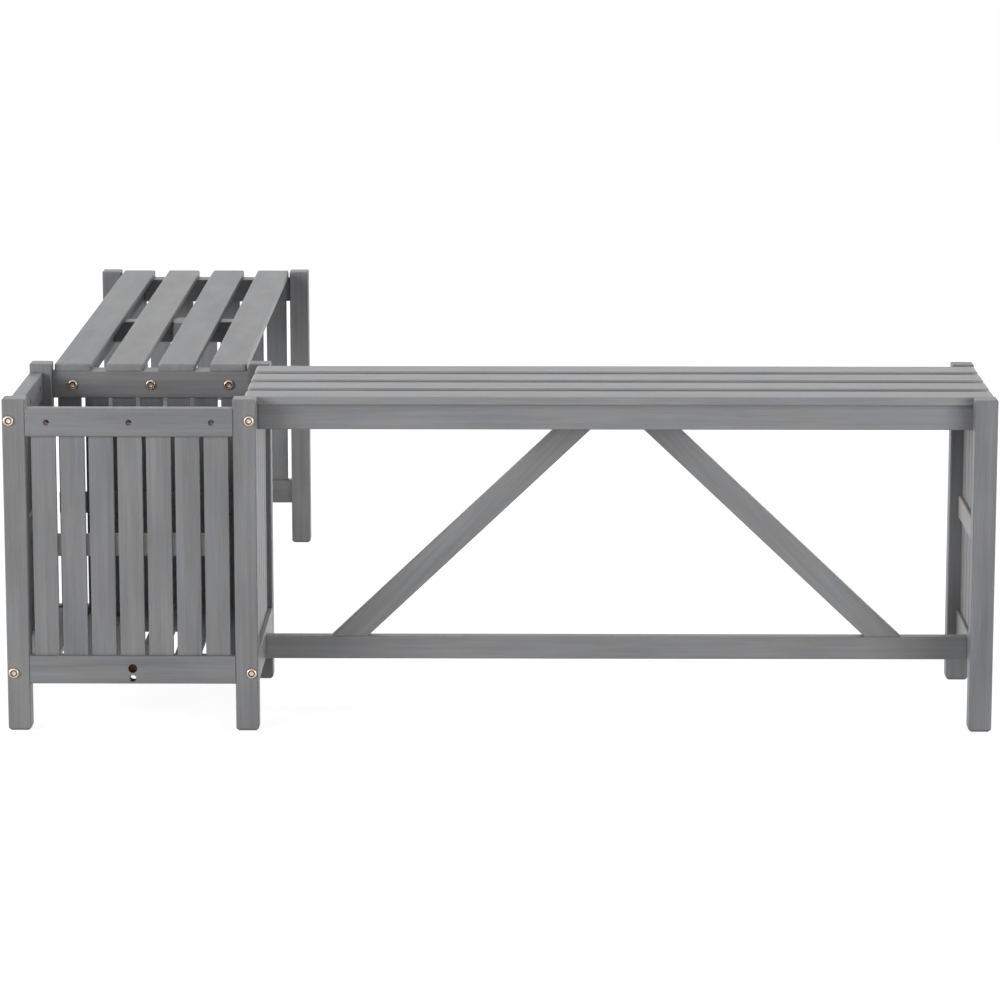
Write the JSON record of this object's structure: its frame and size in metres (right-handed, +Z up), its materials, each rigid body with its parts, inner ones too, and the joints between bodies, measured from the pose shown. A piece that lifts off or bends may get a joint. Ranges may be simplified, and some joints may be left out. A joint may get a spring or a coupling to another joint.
{
  "type": "corner bench with planter",
  "caption": "Slatted square planter box of grey-stained hardwood in the corner of an L, with a low slatted bench on braced legs along each of two of its sides.",
  "frame": {"origin": "middle of the whole object's bounding box, bolt heads included, at the ground", "axes": "+Z up, +X along the right bench away from the planter, +Y along the back bench away from the planter"},
  "size_m": [1.1734, 1.177, 0.4],
  "materials": {
    "stained_wood": "semi-opaque grey stain, matt",
    "dowel_wood": "plain beech",
    "bolt_brass": "yellow-passivated, satin",
    "insert_steel": "zinc plated"
  },
  "bodies": {
    "root": {"back_bench_apron_inner": "stained_wood", "back_bench_apron_outer": "stained_wood", "back_bench_brace_far": "stained_wood", "back_bench_brace_near": "stained_wood", "back_bench_end_bottom_rail": "stained_wood", "back_bench_end_mid_batten": "stained_wood", "back_bench_end_rail_far": "stained_wood", "back_bench_end_rail_near": "stained_wood", "back_bench_end_slats": "stained_wood", "back_bench_end_top_rail": "stained_wood", "back_bench_leg_inner": "stained_wood", "back_bench_leg_outer": "stained_wood", "back_bench_mid_rail": "stained_wood", "back_bench_seat_slats": "stained_wood", "back_bench_stretcher": "stained_wood", "bench_bolts": "bolt_brass", "bench_inserts": "insert_steel", "corner_bolts": "bolt_brass", "corner_inserts": "insert_steel", "planter_back_bottom_rail": "stained_wood", "planter_back_mid_batten": "stained_wood", "planter_back_slats": "stained_wood", "planter_back_top_rail": "stained_wood", "planter_floor_batten_back": "stained_wood", "planter_floor_batten_front": "stained_wood", "planter_floor_slats": "stained_wood", "planter_front_bottom_rail": "stained_wood", "planter_front_mid_batten": "stained_wood", "planter_front_slats": "stained_wood", "planter_front_top_rail": "stained_wood", "planter_left_bottom_rail": "stained_wood", "planter_left_mid_batten": "stained_wood", "planter_left_slats": "stained_wood", "planter_left_top_rail": "stained_wood", "planter_post_back_left": "stained_wood", "planter_post_back_right": "stained_wood", "planter_post_front_left": "stained_wood", "planter_post_front_right": "stained_wood", "planter_right_bottom_rail": "stained_wood", "planter_right_mid_batten": "stained_wood", "planter_right_slats": "stained_wood", "planter_right_top_rail": "stained_wood", "right_bench_apron_inner": "stained_wood", "right_bench_apron_outer": "stained_wood", "right_bench_brace_far": "stained_wood", "right_bench_brace_near": "stained_wood", "right_bench_end_bottom_rail": "stained_wood", "right_bench_end_mid_batten": "stained_wood", "right_bench_end_rail_far": "stained_wood", "right_bench_end_rail_near": "stained_wood", "right_bench_end_slats": "stained_wood", "right_bench_end_top_rail": "stained_wood", "right_bench_leg_inner": "stained_wood", "right_bench_leg_outer": "stained_wood", "right_bench_mid_rail": "stained_wood", "right_bench_seat_slats": "stained_wood", "right_bench_stretcher": "stained_wood", "stretcher_bolts": "bolt_brass", "stretcher_dowels": "dowel_wood", "stretcher_inserts": "insert_steel"}
  },
  "joints": []
}
